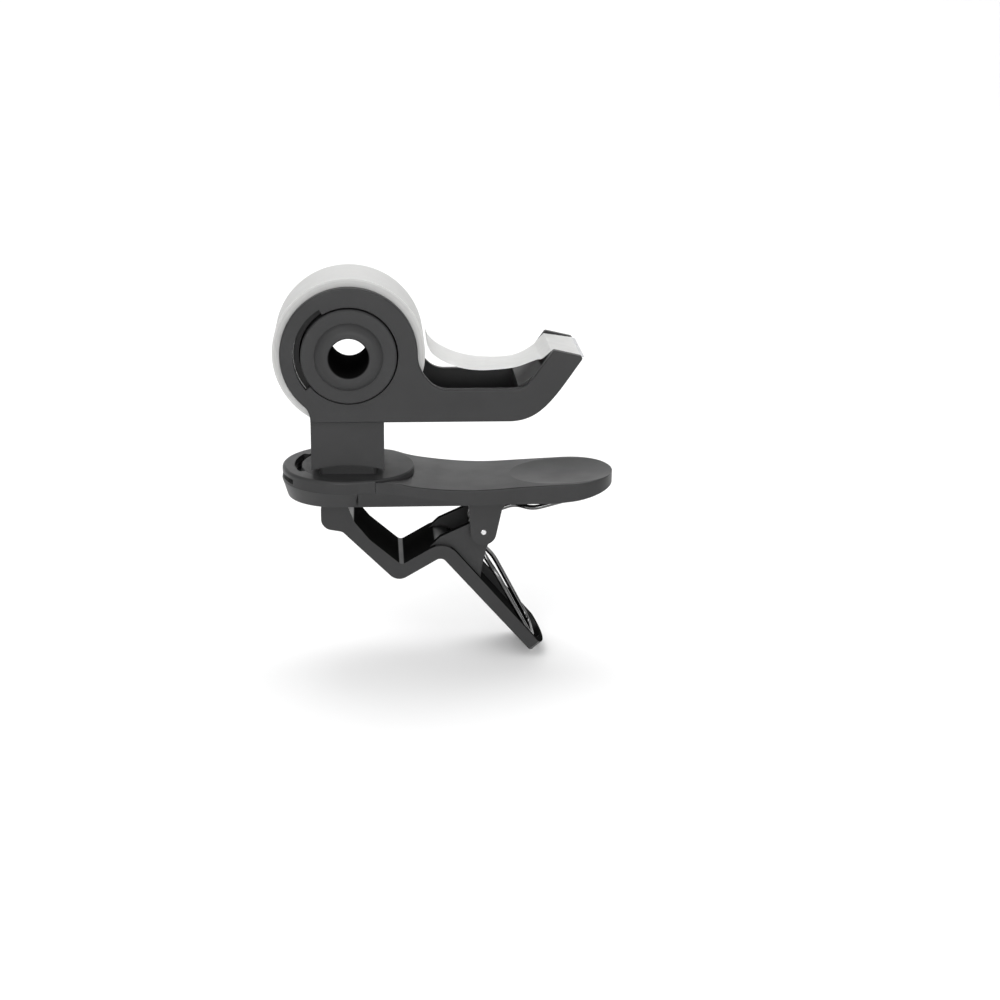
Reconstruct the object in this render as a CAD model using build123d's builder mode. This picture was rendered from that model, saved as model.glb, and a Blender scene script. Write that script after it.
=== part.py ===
from build123d import *
import math
import os

os.makedirs("parts", exist_ok=True)

# A clip-on tape dispenser. Millimetres, +Z up, +X towards the cutter and the levers, +Y to the back.
# The origin is on the swivel axis, on the flat grip face under the upper jaw.

# ---- driving dimensions --------------------------------------------------------------------------
WALL = 1.9                      # side walls of the head
HALF_W = 12.0                   # head: outer face of each side wall
HALF_IN = HALF_W - WALL         # head: inner face of each side wall

ROLL_X, ROLL_Z = -2.0, 39.6     # roll axis
HEAD_R = 17.4                   # round part of the side walls
ROLL_R = 19.3
CORE_R, CORE_RO = 12.5, 13.9    # bore and outside of the paper core
TAPE_W = 19.0
BORE_R = 5.03                   # open bore through the spindle
SPINDLE_R = 12.1                # spindle drum and its near disc
HOLE_R = 12.5                   # hole in each side wall
ROLL_ROOM = 19.9                # room that the roll has between the walls

TRAY_FLOOR = 1.8                # jaw floor under the turntable
SEAM_Z = 4.5                    # top of the tray, where the collar sits
COLLAR_TOP = 7.9
SEAM_X = 4.5                    # end of the collar on each side
TABLE_R, TABLE_BORE = 14.8, 15.15       # turntable's top disc, and the recess that it turns in
FLANGE_R, FLANGE_BORE = 13.15, 13.5     # its lower flange, and the pocket below the lip
NECK_R, LIP_R = 12.0, 12.35             # groove round the turntable, and the lip that runs in it
TABLE_TOP = 7.6
RIM_FILLET = 0.35              # rounding of the paddle's rim
POST_L, POST_R, POST_FACE = -11.9, 6.8, 10.9    # left, right and outer faces of the post
POST_SCREW_X, POST_SCREW_Y = -2.1, 3.6
SHANK_R, SCREW_HEAD_R = 1.0, 1.9    # every screw's shank and head

PIN_X, PIN_Z, PIN_R = 32.6, -8.3, 0.75
EAR_IN, EAR_OUT = 8.4, 10.3     # ears of the upper jaw
CHEEK_IN, CHEEK_OUT = 6.3, 8.0  # cheeks of the lower jaw
LOWER_HALF = 9.7                # half width of the lower jaw
WIRE_R = 0.65
COIL_R = 2.9                    # mean radius of the spring's coils

XZ = Plane.XZ


def side(y):
    """Sketch plane facing the near side, at the given Y."""
    return Plane(origin=(0, y, 0), x_dir=(1, 0, 0), z_dir=(0, -1, 0))


def at_roll(y):
    """Sketch plane facing the near side, centred on the roll axis."""
    return Plane(origin=(ROLL_X, y, ROLL_Z), x_dir=(1, 0, 0), z_dir=(0, -1, 0))


def at_pin(y):
    """Sketch plane facing the near side, centred on the pivot pin."""
    return Plane(origin=(PIN_X, y, PIN_Z), x_dir=(1, 0, 0), z_dir=(0, -1, 0))


def finish(piece, name):
    """Label a piece and write its file."""
    piece.part.label = name
    export_step(piece.part, f"parts/{name}.step")


# ---- upper jaw: grip floor, swivel tray, thumb paddle and the two ears -----------------------------
END_X, END_R = -3.5, 16.3       # rounded swivel end, at the seam
FLARE_Z, FLARE_R = 4.7, 16.45   # the same end just above the seam, where its cone is trimmed
FOOT_X, FOOT_R = -5.5, 13.0     # the same end, at the grip face
TIP_X, TIP_R = 55.0, 12.1       # rounded paddle tip
NECK_X = 30.0                   # where the flared flank runs out


def end_half(x):
    return math.sqrt(FLARE_R**2 - (x - END_X) ** 2)


def jaw_section(x, foot, foot_z, top):
    """Cross-section of the jaw: foot width, height of the flank's crease, top width."""
    return (Plane(origin=(x, 0, 0), x_dir=(0, 1, 0), z_dir=(1, 0, 0)),
            [(-foot, 0), (-top, foot_z), (-top, 10), (top, 10), (top, foot_z), (foot, 0)])


with BuildPart() as upper_jaw:
    # the swivel end: an oblique cone up to the seam, then straight up
    with BuildSketch(Plane.XY):
        with BuildLine():
            ThreePointArc((FOOT_X, FOOT_R), (FOOT_X - FOOT_R, 0), (FOOT_X, -FOOT_R))
            Line((FOOT_X, -FOOT_R), (0, -FOOT_R - 0.1))
            Line((0, -FOOT_R - 0.1), (0, FOOT_R + 0.1))
            Line((0, FOOT_R + 0.1), (FOOT_X, FOOT_R))
        make_face()
    with BuildSketch(Plane.XY.offset(FLARE_Z)):
        with BuildLine():
            ThreePointArc((END_X, FLARE_R), (END_X - FLARE_R, 0), (END_X, -FLARE_R))
            ThreePointArc((END_X, -FLARE_R), (END_X / 2, -end_half(END_X / 2)), (0, -end_half(0)))
            Line((0, -end_half(0)), (0, end_half(0)))
            ThreePointArc((0, end_half(0)), (END_X / 2, end_half(END_X / 2)), (END_X, FLARE_R))
        make_face()
    loft(ruled=True)
    # the body right of the swivel axis, whose flanks flare less and less
    for x, foot, crease, top in ((0, 13.1, FLARE_Z, end_half(0)), (9, 13.05, 3.7, 14.4),
                                 (NECK_X, 12.85, 0.3, 12.9)):
        plane, outline = jaw_section(x, foot, crease, top)
        with BuildSketch(plane):
            Polygon(*outline, align=None)
    loft(ruled=True)
    # the thumb paddle
    with BuildSketch(Plane.XY):
        with BuildLine():
            Line((NECK_X, -12.9), (NECK_X, 12.9))
            Spline((NECK_X, 12.9), (41, 12.15), (TIP_X, TIP_R), tangents=((1, -0.12), (1, 0)))
            ThreePointArc((TIP_X, TIP_R), (TIP_X + TIP_R, 0), (TIP_X, -TIP_R))
            Spline((TIP_X, -TIP_R), (41, -12.15), (NECK_X, -12.9), tangents=((-1, 0), (-1, -0.12)))
        make_face()
    extrude(amount=10)
    # the collar's room, and the dished top
    with BuildSketch(XZ):
        with BuildLine():
            Polyline((-25, SEAM_Z), (SEAM_X, SEAM_Z), (SEAM_X, 7.2), (8, 6.95))
            Spline((8, 6.95), (13, 5.9), (17.5, 5.1), (22, 4.6), (30.5, 4.1), (43, 4.65), (56, 5.3), (70, 6.2),
                   tangents=((1, -0.05), (1, 0.07)))
            Polyline((70, 6.2), (70, 12), (-25, 12), (-25, SEAM_Z))
        make_face()
    extrude(amount=30, both=True, mode=Mode.SUBTRACT)
    rim = upper_jaw.edges().filter_by(lambda e: e.center().X > 6 and e.center().Z > 3.8
                                      and abs(e.center().Y) > 6 and e.length > 5)
    tip_rim = upper_jaw.edges().filter_by(lambda e: e.center().X > 58 and e.center().Z > 3.8)
    fillet(rim + tip_rim, RIM_FILLET)
    # thumb scoop: a shallow lens turned about an axis high above the paddle
    with BuildSketch(side(0)):
        with BuildLine():
            ThreePointArc((38.5, 4.6), (53, 4.15), (67.6, 5.8))
            Polyline((67.6, 5.8), (67.6, 20), (38.5, 20), (38.5, 4.6))
        make_face()
    revolve(axis=Axis((0, 0, 62), (1, 0, 0)), revolution_arc=360, mode=Mode.SUBTRACT)
    # pocket for the turntable, with the lip that holds it down
    with BuildSketch(Plane.XY.offset(TRAY_FLOOR)):
        Circle(FLANGE_BORE)
    extrude(amount=SEAM_Z + 0.1 - TRAY_FLOOR, mode=Mode.SUBTRACT)
    with BuildSketch(Plane.XY.offset(SEAM_Z)):
        Circle(LIP_R)
    extrude(amount=5, mode=Mode.SUBTRACT)
    with BuildSketch(Plane.XY.offset(5.6)):
        Circle(TABLE_BORE)
    extrude(amount=5, mode=Mode.SUBTRACT)
    # the paddle's underside curves up to its tip
    with BuildSketch(side(0)):
        with BuildLine():
            Spline((48, 0), (56, 0.6), (62.5, 1.7), (70, 3.7), tangents=((1, 0), (1, 0.4)))
            Polyline((70, 3.7), (70, -2), (48, -2), (48, 0))
        make_face()
    extrude(amount=20, both=True, mode=Mode.SUBTRACT)
    # hollow under the paddle, and the slot between the ears where the spring works
    with BuildSketch(Plane.XY):
        with BuildLine():
            Polyline((39.5, 10.3), (39.5, -10.3), (TIP_X, -10.4))
            ThreePointArc((TIP_X, -10.4), (TIP_X + 10.4, 0), (TIP_X, 10.4))
            Line((TIP_X, 10.4), (39.5, 10.3))
        make_face()
        with Locations((34.5, 0)):
            Rectangle(12, 2 * 8.1)
    extrude(amount=2.4, mode=Mode.SUBTRACT)
    # coring under the neck
    with BuildSketch(Plane.XY):
        with Locations((21.2, 5.6), (21.2, -5.6)):
            RectangleRounded(9.5, 9, 1)
    extrude(amount=2.6, mode=Mode.SUBTRACT)
    # ears
    for y in (EAR_OUT, -EAR_IN):
        with BuildSketch(side(y)):
            with BuildLine():
                Polyline((28.6, 0.5), (29.2, -8.6))
                ThreePointArc((29.2, -8.6), (32.6, -11.75), (35.9, -8.9))
                Polyline((35.9, -8.9), (37.2, -2.6))
                ThreePointArc((37.2, -2.6), (37.9, -1.1), (39.4, -0.3))
                Polyline((39.4, -0.3), (39.4, 0.5), (28.6, 0.5))
            make_face()
        extrude(amount=EAR_OUT - EAR_IN)
    with BuildSketch(at_pin(20)):
        Circle(PIN_R)
    extrude(amount=40, mode=Mode.SUBTRACT)
finish(upper_jaw, "upper_jaw")


# ---- swivel collar: C-shaped cover that traps the turntable ---------------------------------------
with BuildPart() as swivel_collar:
    with BuildSketch(Plane.XY.offset(SEAM_Z)):
        with BuildLine():
            half = math.sqrt(END_R**2 - END_X**2)
            ThreePointArc((0, half), (END_X - END_R, 0), (0, -half))
            Polyline((0, -half), (SEAM_X - 0.1, 0.65 - half), (SEAM_X - 0.1, half - 0.65), (0, half))
        make_face()
    extrude(amount=COLLAR_TOP - SEAM_Z)
    top_edges = swivel_collar.edges().group_by(Axis.Z)[-1]
    fillet(top_edges.filter_by(lambda e: e.center().X < SEAM_X - 0.2), 0.7)
    with BuildSketch(Plane.XY.offset(SEAM_Z)):
        Circle(LIP_R)
    extrude(amount=5, mode=Mode.SUBTRACT)
    with BuildSketch(Plane.XY.offset(5.6)):
        Circle(TABLE_BORE)
    extrude(amount=5, mode=Mode.SUBTRACT)
    # crescent gap at the left, and the catch window below it
    with BuildSketch(Plane.XY.offset(SEAM_Z)):
        with BuildLine():
            gap = CenterArc((0, 0), 16.6, 150, 55)
            Polyline(gap @ 1, (-8, -5), (-8, 6), gap @ 0)
        make_face()
    extrude(amount=5, mode=Mode.SUBTRACT)
    with BuildSketch(Plane.XY.offset(5.1)):
        with Locations((-19, 0)):
            Rectangle(9, 19)
    extrude(amount=1.3, mode=Mode.SUBTRACT)
finish(swivel_collar, "swivel_collar")

# ---- turntable and its wave washer -----------------------------------------------------------------
with BuildPart() as turntable:
    with BuildSketch(XZ):
        Polygon((0, 5.2), (10.5, 5.2), (10.5, 2.6), (FLANGE_R, 2.6), (FLANGE_R, SEAM_Z - 0.25),
                (NECK_R, SEAM_Z - 0.25), (NECK_R, 5.85), (TABLE_R, 5.85), (TABLE_R, TABLE_TOP),
                (0, TABLE_TOP), align=None)
    revolve(axis=Axis.Z)
    fillet(turntable.edges().filter_by(GeomType.CIRCLE).group_by(Axis.Z)[-1], 0.35)
    # upstand that the hollow post fits over
    with BuildSketch(Plane.XY.offset(TABLE_TOP - 0.5)):
        with Locations(((POST_L + POST_R) / 2, 0)):
            RectangleRounded(POST_R - POST_L - 4.0, 2 * (POST_FACE - 1.95), 1.0)
    extrude(amount=8.0)
    with BuildSketch(Plane.XY):
        with Locations((POST_SCREW_X, POST_SCREW_Y), (POST_SCREW_X, -POST_SCREW_Y)):
            Circle(SHANK_R)
    extrude(amount=20, mode=Mode.SUBTRACT)
finish(turntable, "turntable")

with BuildPart() as wave_washer:
    with BuildSketch(Plane.XY.offset(TRAY_FLOOR)):
        Circle(12.9)
        Circle(10.9, mode=Mode.SUBTRACT)
    extrude(amount=0.5)
finish(wave_washer, "wave_washer")

with BuildPart() as post_screws:
    with BuildSketch(Plane.XY.offset(5.2)):
        with Locations((POST_SCREW_X, POST_SCREW_Y), (POST_SCREW_X, -POST_SCREW_Y)):
            Circle(SHANK_R)
    extrude(amount=13.3)
    with BuildSketch(Plane.XY.offset(5.2)):
        with Locations((POST_SCREW_X, POST_SCREW_Y), (POST_SCREW_X, -POST_SCREW_Y)):
            Circle(SCREW_HEAD_R)
    extrude(amount=-1.4)
finish(post_screws, "post_screws")

# ---- head: two shells that meet on the mid plane ----------------------------------------------------
ARM_BOTTOM = 22.2
WEB_SCREWS, WEB_SCREW_Z = (-8.6, 4.4), 18.4         # screws that join the shells, through the web of the post


def on_head(angle):
    """Point on the head's round edge, angle in degrees counter-clockwise from +X."""
    a = math.radians(angle)
    return (ROLL_X + HEAD_R * math.cos(a), ROLL_Z + HEAD_R * math.sin(a))


def head_outline():
    """Closed outline of a side wall: round head, trough, cutter end and flat underside."""
    blend = on_head(-131)
    ThreePointArc(on_head(0), on_head(110), blend)
    Spline(blend, (POST_L, ARM_BOTTOM), tangents=((0.755, -0.656), (0, -1)))
    Line((POST_L, ARM_BOTTOM), (38.6, ARM_BOTTOM))
    Spline((38.6, ARM_BOTTOM), (48.4, 26.6), (53.7, 33.5), (57.4, 39.0), tangents=((1, 0), (0.55, 0.8)))
    Line((57.4, 39.0), (49.6, 40.8))
    Spline((49.6, 40.8), (45.4, 34.8), (39.6, 30.75), tangents=((-0.5, -0.8), (-1, 0)))
    Line((39.6, 30.75), (23.2, 30.75))
    Spline((23.2, 30.75), (17.6, 33.7), on_head(0), tangents=((-1, 0), (0, 1)))


BLADE_T, BLADE_HALF, TEETH = 0.35, 10.0, 20
BLADE_PLANE = Plane(origin=(55.1, 0, 38.8), x_dir=(0.9875, 0, -0.158), z_dir=(0.158, 0, 0.9875))


def trough_floor():
    """Curve of the arm's floor where it rises to the cutter."""
    Spline((38.4, 24.1), (47.0, 28.0), (51.8, 34.6), (54.9, 39.8), tangents=((1, 0), (0.5, 0.85)))


def head_shell(name, flip):
    """One half of the head: side wall, half of the arm's floor and half of the post."""
    with BuildPart() as shell:
        with BuildSketch(side(0)) as wall:
            with BuildLine():
                head_outline()
            make_face()
            fillet(wall.vertices().filter_by(lambda v: v.X > 49 and v.Y > 38), 0.7)
        extrude(amount=HALF_W)
        fillet(shell.faces().sort_by(Axis.Y)[0].outer_wire().edges(), 0.5)
        # the trough over the arm's floor, and the roll's room
        with BuildSketch(side(0)):
            with BuildLine():
                Polyline((-30, 45), (-30, 24.1), (38.4, 24.1))
                trough_floor()
                Polyline((54.9, 39.8), (54.9, 60), (-30, 60), (-30, 45))
            make_face()
        extrude(amount=HALF_IN, mode=Mode.SUBTRACT)
        # seat of the cutter blade
        with BuildSketch(BLADE_PLANE):
            Rectangle(8, HALF_IN, align=(Align.CENTER, Align.MAX))
        extrude(amount=3, mode=Mode.SUBTRACT)
        # post, hollow from below, with an arched lower edge
        with BuildSketch(side(0)):
            with BuildLine():
                Polyline((POST_R, 9.3), (POST_R, 24), (POST_L, 24), (POST_L, 9.3))
                ThreePointArc((POST_L, 9.3), ((POST_L + POST_R) / 2, 10.7), (POST_R, 9.3))
            make_face()
        extrude(amount=POST_FACE)
        with BuildSketch(side(0)):
            with Locations(((POST_L + POST_R) / 2, 9)):
                Rectangle(POST_R - POST_L - 3.4, 14)
        extrude(amount=POST_FACE - 1.7, mode=Mode.SUBTRACT)
        with BuildSketch(at_roll(0)):
            Circle(ROLL_ROOM)
        extrude(amount=HALF_IN, mode=Mode.SUBTRACT)
        # hole for the spindle, widened at the left where its lugs pass through
        with BuildSketch(at_roll(0)):
            Circle(HOLE_R)
            with BuildLine():
                inner = CenterArc((0, 0), HOLE_R - 0.5, 121, 98)
                outer = CenterArc((0, 0), HOLE_R + 1.5, 121, 98)
                Line(inner @ 0, outer @ 0)
                Line(inner @ 1, outer @ 1)
            make_face()
        extrude(amount=HALF_W + 1, mode=Mode.SUBTRACT)
        # holes for the screws that join the shells and hold the post down
        with BuildSketch(side(0)):
            with Locations(*((x, WEB_SCREW_Z) for x in WEB_SCREWS)):
                Circle(SHANK_R)
        extrude(amount=POST_FACE + 1 if flip else 6.3, mode=Mode.SUBTRACT)
        if flip:
            with BuildSketch(side(-POST_FACE - 1)):
                with Locations(*((x, WEB_SCREW_Z) for x in WEB_SCREWS)):
                    Circle(SCREW_HEAD_R)
            extrude(amount=-2.2, mode=Mode.SUBTRACT)
        with BuildSketch(Plane.XY.offset(10)):
            with Locations((POST_SCREW_X, -POST_SCREW_Y)):
                Circle(SHANK_R)
        extrude(amount=8.5, mode=Mode.SUBTRACT)
        if flip:
            mirror(about=Plane.XZ, mode=Mode.REPLACE)
    finish(shell, name)
    return shell


near_shell = head_shell("near_shell", False)
far_shell = head_shell("far_shell", True)

with BuildPart() as shell_screws:
    for x in WEB_SCREWS:
        with BuildSketch(Plane(origin=(x, POST_FACE - 1.2, WEB_SCREW_Z), x_dir=(1, 0, 0), z_dir=(0, -1, 0))):
            Circle(SHANK_R)
        extrude(amount=16)
        with BuildSketch(Plane(origin=(x, POST_FACE - 0.2, WEB_SCREW_Z), x_dir=(1, 0, 0), z_dir=(0, -1, 0))):
            Circle(SCREW_HEAD_R)
        extrude(amount=1.0)
finish(shell_screws, "shell_screws")

# ---- spindle: drum that the roll turns on, with an open bore ------------------------------------------
# sketch plane of everything that turns with the roll: (radius, towards the near side)
TURNING = Plane(origin=(ROLL_X, 0, ROLL_Z), x_dir=(0, 0, 1), z_dir=(1, 0, 0))
ROLL_AXIS = Axis((ROLL_X, 0, ROLL_Z), (0, 1, 0))

with BuildPart() as spindle:
    with BuildSketch(TURNING):
        with BuildLine():
            Polyline((BORE_R, 14.2), (BORE_R, -9.6), (6.6, -9.6), (6.6, 10.9), (10.6, 10.9), (10.6, -11.8),
                     (SPINDLE_R, -11.8), (SPINDLE_R, 12.6), (SPINDLE_R - 0.3, 12.9), (8.7, 12.9))
            ThreePointArc((8.7, 12.9), (7.5, 14.1), (5.7, 14.5))
            ThreePointArc((5.7, 14.5), (5.2, 14.42), (BORE_R, 14.2))
        make_face()
    revolve(axis=ROLL_AXIS)
finish(spindle, "spindle")

with BuildPart() as spindle_cap:
    with BuildSketch(TURNING):
        Polygon((6.65, -8.6), (6.65, -9.8), (9.4, -9.8), (10.0, -13.0), (13.3, -13.0), (13.6, -12.7),
                (13.6, -12.05), (10.55, -12.05), (10.55, -8.6), align=None)
    revolve(axis=ROLL_AXIS)
finish(spindle_cap, "spindle_cap")

# ---- tape: paper core, roll and the free end that runs to the cutter ------------------------------------
with BuildPart() as tape_core:
    with BuildSketch(at_roll(TAPE_W / 2)):
        Circle(CORE_RO)
        Circle(CORE_R, mode=Mode.SUBTRACT)
    extrude(amount=TAPE_W)
finish(tape_core, "tape_core")

with BuildPart() as tape_roll:
    with BuildSketch(at_roll(TAPE_W / 2)):
        Circle(ROLL_R)
        Circle(CORE_RO, mode=Mode.SUBTRACT)
    extrude(amount=TAPE_W)
finish(tape_roll, "tape_roll")

TAPE_T = 0.12
# the tape's free part sags more at the far edge than at the near edge
FREE_NEAR = ((17.6, 43.0), (21.2, 38.0), (26.4, 35.9), (31.5, 35.25), (36.5, 35.5), (41.6, 36.4), (46, 38))
FREE_FAR = ((17.6, 43.0), (21.6, 37.4), (27.4, 34.9), (32.7, 34.05), (38.0, 34.0), (43.3, 35.2), (46.6, 37.3))
LANDING = ((49.2, 40.15), (56.6, 39.05))            # the part of the tape that lies on the cutter

with BuildPart() as tape_strip:
    for y, free in ((TAPE_W / 2, FREE_FAR), (-TAPE_W / 2, FREE_NEAR)):
        with BuildSketch(side(y)):
            with BuildLine() as run:
                Spline(*free, LANDING[0], tangents=((0.12, -1), (0.75, 0.75)))
                Line(*LANDING)
            trace(run.line, TAPE_T)
    loft(ruled=True)
finish(tape_strip, "tape_strip")

# ---- cutter: landing block between the walls, and the toothed blade ----------------------------------------
with BuildPart() as landing_block:
    with BuildSketch(side(HALF_IN - 0.02)):
        with BuildLine():
            Polyline((41.0, 20), (41.0, 31.2))
            ThreePointArc((41.0, 31.2), (44.4, 33.5), (46.6, 36.4))
            Polyline((46.6, 36.4), (46.9, 33.6), (48.5, 35.0), (49.3, 39.75), (52.9, 39.25), (53.1, 39.0),
                     (57.0, 38.3), (57.0, 20), (41.0, 20))
        make_face()
        with BuildLine():
            trough_floor()
            Polyline((54.9, 39.8), (60, 39.8), (60, 10), (38.4, 10), (38.4, 24.1))
        make_face(mode=Mode.SUBTRACT)
    extrude(amount=2 * (HALF_IN - 0.02))
finish(landing_block, "landing_block")

with BuildPart() as cutter_blade:
    with BuildSketch(BLADE_PLANE):
        pitch = 2 * BLADE_HALF / TEETH
        outline = [(-1.9, BLADE_HALF), (-1.9, -BLADE_HALF)]
        for n in range(TEETH):
            outline += [(1.7, -BLADE_HALF + n * pitch), (2.5, -BLADE_HALF + (n + 0.5) * pitch)]
        outline += [(1.7, BLADE_HALF)]
        Polygon(*outline, align=None)
    extrude(amount=BLADE_T)
finish(cutter_blade, "cutter_blade")

# ---- lower jaw: V grip, two cheeks on the pin, and the finger lever ----------------------------------
LEVER_AT = Vector(30.8, 0, -20.1)                  # a point on the lever's inner face
LEVER_DIR = Vector(0.653, 0, -0.757)               # down the lever
LEVER_OUT = Vector(0.757, 0, 0.653)                # out of its inner face
LEVER_END = 28.9                                   # from LEVER_AT to the round end
LEVER_PLANE = Plane(origin=LEVER_AT, x_dir=LEVER_DIR, z_dir=LEVER_OUT)


def lever_shape(half, start, end, sagitta):
    """Plan of the lever: straight sides and a round end."""
    Polyline((end - sagitta, half), (start, half), (start, -half), (end - sagitta, -half))
    ThreePointArc((end - sagitta, -half), (end, 0), (end - sagitta, half))


with BuildPart() as lower_jaw:
    with BuildSketch(side(LOWER_HALF)) as band:
        with BuildLine():
            Polyline((-2.9, -0.35), (-9.7, -0.35), (-9.7, -6.9), (-4.2, -7.9), (0.2, -12.3), (10.1, -22.1),
                     (21.7, -15.2), (49.8, -47.1), (52.6, -45.4), (22.6, -10.6), (11.2, -17.3), (2.9, -10.2),
                     (-1.1, -5.2), (-2.9, -0.35))
        make_face()
        fillet(band.vertices().filter_by(lambda v: abs(v.X + 9.7) < 0.1 and v.Y > -1), 1.3)
        fillet(band.vertices().filter_by(lambda v: v.X < -7 and v.Y < -5), 3.0)
        fillet(band.vertices().filter_by(lambda v: abs(v.X + 4.2) < 0.1), 1.8)
        fillet(band.vertices().filter_by(lambda v: abs(v.X - 10.1) < 0.1), 3.4)
        fillet(band.vertices().filter_by(lambda v: abs(v.X - 21.7) < 0.1), 1.8)
        fillet(band.vertices().filter_by(lambda v: abs(v.X - 22.6) < 0.1), 5.5)
        fillet(band.vertices().filter_by(lambda v: abs(v.X - 11.2) < 0.1), 1.6)
        fillet(band.vertices().filter_by(lambda v: abs(v.X - 2.9) < 0.1 and v.Y < -5), 5)
        fillet(band.vertices().filter_by(lambda v: abs(v.X + 1.1) < 0.1), 5)
    extrude(amount=2 * LOWER_HALF)
    # round end of the lever
    with BuildSketch(LEVER_PLANE):
        with Locations((LEVER_END, 0)):
            Rectangle(24, 30)
        with BuildLine():
            lever_shape(LOWER_HALF, 0, LEVER_END, 3.1)
        make_face(mode=Mode.SUBTRACT)
    extrude(amount=8, both=True, mode=Mode.SUBTRACT)
    # tray in the lever's inner face, where the spring's loop lies
    with BuildSketch(LEVER_PLANE.offset(-2.1)):
        with BuildLine():
            lever_shape(LOWER_HALF - 1.5, -6.5, LEVER_END - 1.5, 2.5)
        make_face()
    extrude(amount=4, mode=Mode.SUBTRACT)
    # cheeks and the barrels that carry the coils
    for y in (CHEEK_OUT, -CHEEK_IN):
        with BuildSketch(side(y)):
            with BuildLine():
                Polyline((17.6, -13.9), (21.4, -10.2), (28.4, -6.9), (31.1, -5.55))
                ThreePointArc((31.1, -5.55), (35.3, -6.7), (35.2, -10.1))
                Polyline((35.2, -10.1), (33.6, -13.2), (32.6, -17.5), (31.9, -22.6), (28.5, -20.2),
                         (24.0, -15.0), (20.5, -14.6), (17.6, -13.9))
            make_face()
        extrude(amount=CHEEK_OUT - CHEEK_IN)
    for y in (CHEEK_IN + 0.1, -0.4):
        with BuildSketch(at_pin(y)):
            Circle(2.0)
        extrude(amount=CHEEK_IN - 0.3)
    with BuildSketch(at_pin(20)):
        Circle(PIN_R + 0.05)
    extrude(amount=40, mode=Mode.SUBTRACT)
finish(lower_jaw, "lower_jaw")

# ---- pivot pin and the double torsion spring ---------------------------------------------------------
with BuildPart() as pivot_pin:
    with BuildSketch(at_pin(EAR_OUT + 0.1)):
        Circle(PIN_R)
    extrude(amount=2 * (EAR_OUT + 0.1))
    chamfer(pivot_pin.edges().filter_by(GeomType.CIRCLE), 0.15)
finish(pivot_pin, "pivot_pin")

LEG_Y, LOOP_Y = 3.9, 7.1


def leg_path(root, knee, shoulder, end):
    """Wire from one coil round the loop to the other coil; each argument is an (X, Z) place."""
    half = [(root[0], LEG_Y, root[1]), (knee[0], LEG_Y, knee[1]), (shoulder[0], LOOP_Y, shoulder[1]),
            (end[0], LOOP_Y, end[1])]
    return [(x, -y, z) for x, y, z in half] + half[::-1]


LOOPS = (leg_path((29.95, -9.5), (33.4, -17.2), (36.4, -21.4), (46.65, -40.62)),
         leg_path((31.7, -5.5), (41.0, -2.6), (45.8, -2.9), (62.4, 1.55)))

with BuildPart() as torsion_spring:
    for y in (5.2, -1.2):
        with BuildSketch(at_pin(y)):
            Circle(COIL_R + WIRE_R)
            Circle(COIL_R - WIRE_R, mode=Mode.SUBTRACT)
        extrude(amount=4)
    for points in LOOPS:
        with BuildLine() as loop:
            FilletPolyline(*points, radius=(2.5, 2.5, 4.5, 4.5, 2.5, 2.5))
        with BuildSketch(Plane(origin=loop.line @ 0, z_dir=loop.line % 0)):
            Circle(WIRE_R)
        sweep(path=loop.line)
finish(torsion_spring, "torsion_spring")
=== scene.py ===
"""Looks of the clip-on tape dispenser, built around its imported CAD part."""

import math

import bpy
from mathutils import Matrix, Vector


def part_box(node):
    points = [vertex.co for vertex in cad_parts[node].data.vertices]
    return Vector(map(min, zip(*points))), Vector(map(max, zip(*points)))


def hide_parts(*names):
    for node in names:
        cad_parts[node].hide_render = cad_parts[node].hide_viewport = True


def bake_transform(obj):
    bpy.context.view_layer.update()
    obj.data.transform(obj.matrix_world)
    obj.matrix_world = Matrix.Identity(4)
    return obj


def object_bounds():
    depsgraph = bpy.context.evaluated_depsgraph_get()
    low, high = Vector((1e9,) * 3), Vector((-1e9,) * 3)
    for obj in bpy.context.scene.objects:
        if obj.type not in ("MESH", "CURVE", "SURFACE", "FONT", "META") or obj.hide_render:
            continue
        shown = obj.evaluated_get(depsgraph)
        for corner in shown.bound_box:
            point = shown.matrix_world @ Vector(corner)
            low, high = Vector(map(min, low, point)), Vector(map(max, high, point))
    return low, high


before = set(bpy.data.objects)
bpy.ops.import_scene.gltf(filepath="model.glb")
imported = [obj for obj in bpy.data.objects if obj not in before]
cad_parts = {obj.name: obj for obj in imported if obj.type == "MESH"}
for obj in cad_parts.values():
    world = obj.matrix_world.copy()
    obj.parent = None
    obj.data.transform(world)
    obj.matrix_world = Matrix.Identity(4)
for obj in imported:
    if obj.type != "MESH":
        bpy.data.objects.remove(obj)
cad_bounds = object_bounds()

MM = 0.001
SHEEN = 0.22            # specular level of every moulded piece


# ---- material building blocks -------------------------------------------------------------------


def new_material(name):
    """An empty node material and its Principled shader."""
    material = bpy.data.materials.new(name)
    material.use_nodes = True
    return material, material.node_tree, material.node_tree.nodes["Principled BSDF"]


def object_noise(tree, scale, detail, stretch=(1, 1, 1)):
    """Noise over object coordinates, which are metres in the part's own frame."""
    place = tree.nodes.new("ShaderNodeTexCoord")
    mapping = tree.nodes.new("ShaderNodeMapping")
    mapping.inputs["Scale"].default_value = stretch
    noise = tree.nodes.new("ShaderNodeTexNoise")
    noise.inputs["Scale"].default_value = scale
    noise.inputs["Detail"].default_value = detail
    tree.links.new(place.outputs["Object"], mapping.inputs["Vector"])
    tree.links.new(mapping.outputs["Vector"], noise.inputs["Vector"])
    return noise.outputs["Fac"]


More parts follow.
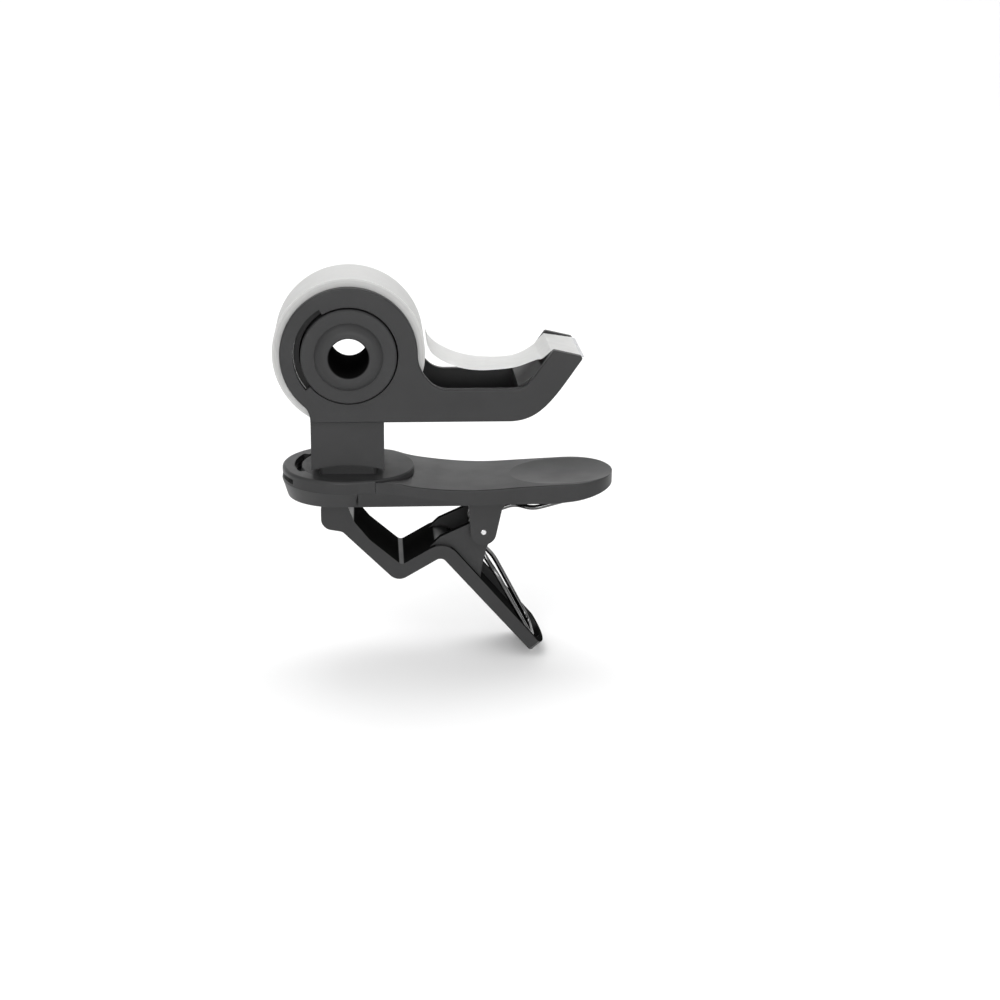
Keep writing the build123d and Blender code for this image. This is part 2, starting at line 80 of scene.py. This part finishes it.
def ramp(tree, value, low, high, start=0.3, end=0.7):
    """Colour or grey ramp between two values over the middle of a noise."""
    node = tree.nodes.new("ShaderNodeValToRGB")
    node.color_ramp.elements[0].position = start
    node.color_ramp.elements[1].position = end
    node.color_ramp.elements[0].color = (*low, 1)
    node.color_ramp.elements[1].color = (*high, 1)
    tree.links.new(value, node.inputs["Fac"])
    return node.outputs["Color"]


def bump(tree, shader, height, strength, distance):
    """Bump from a height output."""
    node = tree.nodes.new("ShaderNodeBump")
    node.inputs["Strength"].default_value = strength
    node.inputs["Distance"].default_value = distance
    tree.links.new(height, node.inputs["Height"])
    tree.links.new(node.outputs["Normal"], shader.inputs["Normal"])


def grey(value):
    return (value, value, value)


def moulded_plastic(name, tone, roughness, grain, depth):
    """Dark moulded plastic: faint flow marks in its colour, fine sparked texture in its surface."""
    material, tree, shader = new_material(name)
    flow = object_noise(tree, 90, 3)
    low = tuple(0.93 * c for c in tone)
    high = tuple(1.07 * c for c in tone)
    tree.links.new(ramp(tree, flow, low, high), shader.inputs["Base Color"])
    patches = object_noise(tree, 160, 2)
    dullness = ramp(tree, patches, grey(roughness - 0.03), grey(roughness + 0.04))
    tree.links.new(dullness, shader.inputs["Roughness"])
    bump(tree, shader, object_noise(tree, grain, 4), 0.35, depth)
    shader.inputs["Specular IOR Level"].default_value = SHEEN
    return material


def drawn_steel(name, tone, roughness, stretch):
    """Bare or plated steel with fine drawing lines."""
    material, tree, shader = new_material(name)
    lines = object_noise(tree, 900, 3, stretch)
    low = tuple(0.88 * c for c in tone)
    tree.links.new(ramp(tree, lines, low, tone), shader.inputs["Base Color"])
    tree.links.new(ramp(tree, lines, grey(roughness), grey(roughness + 0.1)), shader.inputs["Roughness"])
    bump(tree, shader, lines, 0.15, 0.00002)
    shader.inputs["Metallic"].default_value = 1.0
    return material


def spring_wire():
    """Black-nickel plated wire: dark, glossy, with faint die lines."""
    material, tree, shader = new_material("black_nickel_wire")
    lines = object_noise(tree, 700, 2)
    tree.links.new(ramp(tree, lines, grey(0.10), grey(0.15)), shader.inputs["Base Color"])
    tree.links.new(ramp(tree, lines, grey(0.10), grey(0.18)), shader.inputs["Roughness"])
    shader.inputs["Metallic"].default_value = 1.0
    return material


def distance_to_axis(tree, centre):
    """Distance from an axis along Y through centre, in metres."""
    place = tree.nodes.new("ShaderNodeTexCoord")
    mapping = tree.nodes.new("ShaderNodeMapping")
    mapping.vector_type = "POINT"
    mapping.inputs["Location"].default_value = (-centre[0], 0, -centre[2])
    flat = tree.nodes.new("ShaderNodeVectorMath")
    flat.operation = "MULTIPLY"
    flat.inputs[1].default_value = (1, 0, 1)
    length = tree.nodes.new("ShaderNodeVectorMath")
    length.operation = "LENGTH"
    tree.links.new(place.outputs["Object"], mapping.inputs["Vector"])
    tree.links.new(mapping.outputs["Vector"], flat.inputs[0])
    tree.links.new(flat.outputs["Vector"], length.inputs[0])
    return length.outputs["Value"]


def wound_tape(name, centre):
    """Frosted film wound in many layers: faint rings on its sides, soft and milky on its face."""
    material, tree, shader = new_material(name)
    radius = distance_to_axis(tree, centre)
    rings = tree.nodes.new("ShaderNodeTexNoise")
    rings.noise_dimensions = "1D"
    rings.inputs["Scale"].default_value = 2600
    rings.inputs["Detail"].default_value = 3
    tree.links.new(radius, rings.inputs["W"])
    tone = ramp(tree, rings.outputs["Fac"], (0.42, 0.42, 0.416), (0.49, 0.49, 0.483))
    tree.links.new(tone, shader.inputs["Base Color"])
    haze = object_noise(tree, 300, 3)
    tree.links.new(ramp(tree, haze, grey(0.48), grey(0.58)), shader.inputs["Roughness"])
    bump(tree, shader, rings.outputs["Fac"], 0.2, 0.00003)
    shader.inputs["Subsurface Weight"].default_value = 0.35
    shader.inputs["Subsurface Radius"].default_value = (0.9, 0.9, 0.85)
    shader.inputs["Subsurface Scale"].default_value = 0.003
    return material


def tape_film(name):
    """One layer of frosted film: mostly milky, lets some light through."""
    material, tree, shader = new_material(name)
    haze = object_noise(tree, 420, 4)
    tree.links.new(ramp(tree, haze, (0.76, 0.76, 0.755), (0.84, 0.84, 0.83)), shader.inputs["Base Color"])
    tree.links.new(ramp(tree, haze, grey(0.42), grey(0.52)), shader.inputs["Roughness"])
    bump(tree, shader, haze, 0.2, 0.00002)
    shader.inputs["Transmission Weight"].default_value = 0.5
    shader.inputs["IOR"].default_value = 1.15
    return material


def mix_colour(tree, factor, low, high):
    """Blend two colour outputs by a factor output."""
    node = tree.nodes.new("ShaderNodeMix")
    node.data_type = "RGBA"
    tree.links.new(factor, node.inputs[0])
    tree.links.new(low, node.inputs[6])
    tree.links.new(high, node.inputs[7])
    return node.outputs[2]


def step(tree, value, start, end):
    """Factor that rises from 0 to 1 while value goes from start to end."""
    node = tree.nodes.new("ShaderNodeMapRange")
    node.inputs["From Min"].default_value = start
    node.inputs["From Max"].default_value = end
    tree.links.new(value, node.inputs["Value"])
    return node.outputs["Result"]


def facing(tree, direction):
    """How far the surface faces a direction of the part's own frame."""
    place = tree.nodes.new("ShaderNodeTexCoord")
    node = tree.nodes.new("ShaderNodeVectorMath")
    node.operation = "DOT_PRODUCT"
    node.inputs[1].default_value = direction
    tree.links.new(place.outputs["Normal"], node.inputs[0])
    return node.outputs["Value"]


def paint_shade(material, factors, tone):
    """Paint shade into a material: blend it to a darker tone without sheen wherever any of the factors is high.
    """
    tree = material.node_tree
    shader = tree.nodes["Principled BSDF"]
    plain = shader.inputs["Base Color"].links[0].from_socket
    factor = factors[0]
    for other in factors[1:]:
        highest = tree.nodes.new("ShaderNodeMath")
        highest.operation = "MAXIMUM"
        tree.links.new(factor, highest.inputs[0])
        tree.links.new(other, highest.inputs[1])
        factor = highest.outputs["Value"]
    dark = ramp(tree, object_noise(tree, 90, 3), grey(0.9 * tone), grey(1.1 * tone))
    tree.links.new(mix_colour(tree, factor, plain, dark), shader.inputs["Base Color"])
    dull = tree.nodes.new("ShaderNodeMapRange")
    dull.inputs["To Min"].default_value = SHEEN
    dull.inputs["To Max"].default_value = 0
    tree.links.new(factor, dull.inputs["Value"])
    tree.links.new(dull.outputs["Result"], shader.inputs["Specular IOR Level"])


# ---- CAD nodes ----------------------------------------------------------------------------------

roll_low, roll_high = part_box("tape_roll")
roll_centre = tuple((a + b) / 2 for a, b in zip(roll_low, roll_high))

# directions that the faces inside the V and the lever look in: painted shade makes these faces near-black and
# without sheen, and it also paints a thin dark line along the rounded tip of the lower jaw
INNER_SLOPES = ((0.71, 0, 0.70), (0.757, 0, 0.653), (-0.51, 0, 0.86))
CHARCOAL = (0.027, 0.027, 0.0275)
shell_plastic = moulded_plastic("shell_plastic", CHARCOAL, 0.44, 3200, 0.00004)
jaw_plastic = moulded_plastic("jaw_plastic", (0.028, 0.028, 0.0285), 0.40, 3200, 0.00003)
hub_plastic = moulded_plastic("hub_plastic", (0.028, 0.028, 0.0285), 0.46, 2600, 0.00004)
lever_plastic = moulded_plastic("lever_plastic", (0.028, 0.028, 0.0285), 0.40, 3200, 0.00003)
lever_tree = lever_plastic.node_tree
paint_shade(lever_plastic, [step(lever_tree, facing(lever_tree, slope), 0.93, 0.97) for slope in INNER_SLOPES], 0.008)

spindle_plastic = moulded_plastic("spindle_plastic", (0.028, 0.028, 0.0285), 0.46, 2600, 0.00004)
spindle_tree = spindle_plastic.node_tree
# painted shade: the inside of the bore is darkened to near-black without sheen
bore_shade = step(spindle_tree, distance_to_axis(spindle_tree, roll_centre), 0.00535, 0.00505)
paint_shade(spindle_plastic, [bore_shade], 0.006)

# the tape core gets a near-black tone, darker than the other plastics; it shows only as a dark arc in the slot
# beside the spindle
core_plastic = moulded_plastic("core_plastic", (0.012, 0.012, 0.012), 0.5, 2600, 0.00004)
plated_screw = drawn_steel("plated_screw", (0.56, 0.56, 0.57), 0.28, (1, 1, 1))

NODE_MATERIALS = {
    "near_shell": shell_plastic,
    "far_shell": shell_plastic,
    "upper_jaw": jaw_plastic,
    "swivel_collar": jaw_plastic,
    "lower_jaw": lever_plastic,
    "turntable": hub_plastic,
    "spindle": spindle_plastic,
    "spindle_cap": hub_plastic,
    "landing_block": hub_plastic,
    "pivot_pin": drawn_steel("pin_steel", (0.72, 0.72, 0.73), 0.18, (1, 0.05, 1)),
    "post_screws": plated_screw,
    "shell_screws": plated_screw,
    "wave_washer": drawn_steel("washer_steel", (0.5, 0.5, 0.51), 0.3, (1, 1, 0.1)),
    "cutter_blade": drawn_steel("blade_steel", (0.58, 0.58, 0.60), 0.25, (0.05, 1, 1)),
    "tape_roll": wound_tape("wound_tape", roll_centre),
    "tape_strip": tape_film("tape_film"),
    "tape_core": core_plastic,
}


def dress(name, material):
    """Give a CAD node its material."""
    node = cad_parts[name]
    node.data.materials.clear()
    node.data.materials.append(material)


for node_name, node_material in NODE_MATERIALS.items():
    dress(node_name, node_material)

# ---- torsion spring: one wire, two coils, two loops ---------------------------------------------

WIRE_R = 0.65 * MM
COIL_R = 2.9 * MM
COIL_IN, COIL_OUT = 1.2 * MM, 5.2 * MM
TURNS = 2.8


def smooth_corner(before, corner, after, reach):
    """Rounds one corner of a wire: a quadratic curve that starts and ends at the given reach."""
    a = corner + (before - corner).normalized() * reach
    b = corner + (after - corner).normalized() * reach
    steps = 8
    return [((1 - t) ** 2) * a + 2 * t * (1 - t) * corner + t * t * b
            for t in (i / steps for i in range(steps + 1))]


def wire_route(corners, reaches):
    """Points along straight runs with rounded corners."""
    points = [corners[0]]
    for before, corner, after, reach in zip(corners, corners[1:], corners[2:], reaches):
        points += smooth_corner(before, corner, after, reach)
    return points + [corners[-1]]


def tube(points, radius, sides=16):
    """Vertices and faces of a round tube along points, with a frame carried along without twist."""
    rings = []
    side = None
    for i, point in enumerate(points):
        ahead = (points[min(i + 1, len(points) - 1)] - points[max(i - 1, 0)]).normalized()
        if side is None:
            side = ahead.orthogonal().normalized()
        side = (side - ahead * side.dot(ahead)).normalized()
        up = ahead.cross(side)
        rings.append([point + radius * (math.cos(a) * side + math.sin(a) * up)
                      for a in (2 * math.pi * k / sides for k in range(sides))])
    vertices = [v for ring in rings for v in ring]
    faces = [(i * sides + k, i * sides + (k + 1) % sides,
              (i + 1) * sides + (k + 1) % sides, (i + 1) * sides + k)
             for i in range(len(rings) - 1) for k in range(sides)]
    faces.append(tuple(reversed(range(sides))))
    faces.append(tuple(range(len(vertices) - sides, len(vertices))))
    return vertices, faces


def mesh_object(name, vertices, faces, material):
    mesh = bpy.data.meshes.new(name)
    mesh.from_pydata([tuple(v) for v in vertices], [], faces)
    mesh.polygons.foreach_set("use_smooth", [True] * len(mesh.polygons))
    mesh.materials.append(material)
    piece = bpy.data.objects.new(name, mesh)
    bpy.context.collection.objects.link(piece)
    return piece


pin_low, pin_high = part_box("pivot_pin")
PIN = Vector(((pin_low[0] + pin_high[0]) / 2, 0, (pin_low[2] + pin_high[2]) / 2))


def at(x, y, z):
    return Vector((x * MM, y * MM, z * MM))


def coil(side, start_angle, end_angle):
    """Helix round the pin from the outer to the inner end; angles in degrees from +X towards +Z."""
    steps = 120
    first, last = COIL_OUT - WIRE_R, COIL_IN + WIRE_R
    points = []
    for i in range(steps + 1):
        t = i / steps
        angle = math.radians(start_angle + (end_angle - start_angle) * t)
        y = first + (last - first) * t
        points.append(PIN + Vector((COIL_R * math.cos(angle), side * y, COIL_R * math.sin(angle))))
    return points


LOWER_START = 204
UPPER_START = 108
LOWER_LEG = [at(33.4, 4.3, -17.2), at(36.5, 7.1, -21.3), at(46.55, 7.1, -40.55)]
UPPER_LEG = [at(41.0, 3.9, -2.6), at(45.8, 7.1, -2.9), at(62.2, 7.1, 1.55)]
LEG_REACHES = (2.0 * MM, 2.2 * MM, 4.2 * MM)


def mirrored(points):
    return [Vector((p.x, -p.y, p.z)) for p in reversed(points)]


spring_material = spring_wire()
spring_vertices, spring_faces = [], []


def add_tube(points):
    vertices, faces = tube(points, WIRE_R)
    offset = len(spring_vertices)
    spring_vertices.extend(vertices)
    spring_faces.extend(tuple(index + offset for index in face) for face in faces)


for side in (1, -1):
    add_tube(coil(side, LOWER_START, LOWER_START + 360 * TURNS))
for leg, start in ((LOWER_LEG, LOWER_START), (UPPER_LEG, UPPER_START)):
    radius = Vector((math.cos(math.radians(start)), 0, math.sin(math.radians(start)))) * COIL_R
    leave = PIN + radius + Vector((0, COIL_OUT - WIRE_R, 0))
    route = [leave] + leg
    add_tube(wire_route(route + mirrored(route), LEG_REACHES + LEG_REACHES[::-1]))

spring = mesh_object("torsion_spring_wire", spring_vertices, spring_faces, spring_material)
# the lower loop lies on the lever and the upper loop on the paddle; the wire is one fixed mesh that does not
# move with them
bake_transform(spring)
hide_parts("torsion_spring")

# ---- floor, light and camera --------------------------------------------------------------------


def studio_floor():
    """Pale seamless floor that sweeps up behind the object."""
    low = cad_bounds[0][2] - 0.0005
    depth, width, bend = 1.6, 6.0, 0.5
    profile = [(-3.0, low), (depth, low)]
    profile += [(depth + bend * math.sin(a), low + bend * (1 - math.cos(a))) for a in
                (math.pi / 2 * i / 12 for i in range(1, 13))]
    profile.append((depth + bend, low + 4.0))
    vertices = [(x, y, z) for y, z in profile for x in (-width, width)]
    faces = [(2 * i, 2 * i + 1, 2 * i + 3, 2 * i + 2) for i in range(len(profile) - 1)]
    material, tree, shader = new_material("floor_paper")
    tone = object_noise(tree, 6, 2)
    tree.links.new(ramp(tree, tone, grey(0.90), grey(0.92)), shader.inputs["Base Color"])
    shader.inputs["Roughness"].default_value = 0.9
    shader.inputs["Specular IOR Level"].default_value = 0.1
    return mesh_object("studio_floor", vertices, faces, material)


def softbox(name, place, aim, size, power):
    """Square area light aimed at a point."""
    light = bpy.data.lights.new(name, "AREA")
    light.shape = "RECTANGLE"
    light.size, light.size_y = size
    light.energy = power
    lamp = bpy.data.objects.new(name, light)
    lamp.location = place
    lamp.rotation_euler = (Vector(aim) - Vector(place)).to_track_quat("-Z", "Y").to_euler()
    bpy.context.collection.objects.link(lamp)


def studio_world():
    world = bpy.data.worlds.new("studio")
    world.use_nodes = True
    background = world.node_tree.nodes["Background"]
    background.inputs["Color"].default_value = (1, 1, 1, 1)
    background.inputs["Strength"].default_value = 0.6
    bpy.context.scene.world = world


def photo_camera():
    """Camera a little above the object, looking down and slightly to the right; angles in degrees."""
    down, yaw, roll = math.radians(17.5), math.radians(2.6), math.radians(0.25)
    forward = Vector((math.sin(yaw) * math.cos(down), math.cos(yaw) * math.cos(down), -math.sin(down)))
    level = Vector((math.cos(yaw), -math.sin(yaw), 0))
    upright = level.cross(forward)
    right = level * math.cos(roll) + upright * math.sin(roll)
    up = upright * math.cos(roll) - level * math.sin(roll)
    data = bpy.data.cameras.new("camera")
    data.sensor_width = 36
    data.lens = 60.84
    data.shift_x, data.shift_y = 0.057, -0.043
    data.clip_start = 0.02
    camera = bpy.data.objects.new("camera", data)
    turn = Matrix((right, up, -forward)).transposed().to_4x4()
    camera.matrix_world = Matrix.Translation(Vector((0.0031, -0.4239, 0.1430))) @ turn
    bpy.context.collection.objects.link(camera)
    bpy.context.scene.camera = camera


floor = studio_floor()
softbox("key", (-0.35, -0.45, 0.65), (0, 0, 0), (0.5, 0.5), 1.9)
softbox("fill", (0.6, -0.5, 0.35), (0, 0, 0), (0.6, 0.6), 0.8)
softbox("front", (0.05, -0.9, 0.20), (0, 0, 0.02), (0.7, 0.2), 3.5)
softbox("backdrop", (0, 0.6, 1.5), (0, 2.1, 0.9), (3.0, 0.6), 24)
softbox("top", (0.05, 0.25, 0.7), (0, 0, 0), (0.6, 0.4), 2.6)
studio_world()
photo_camera()
bpy.context.scene.view_settings.view_transform = "Standard"
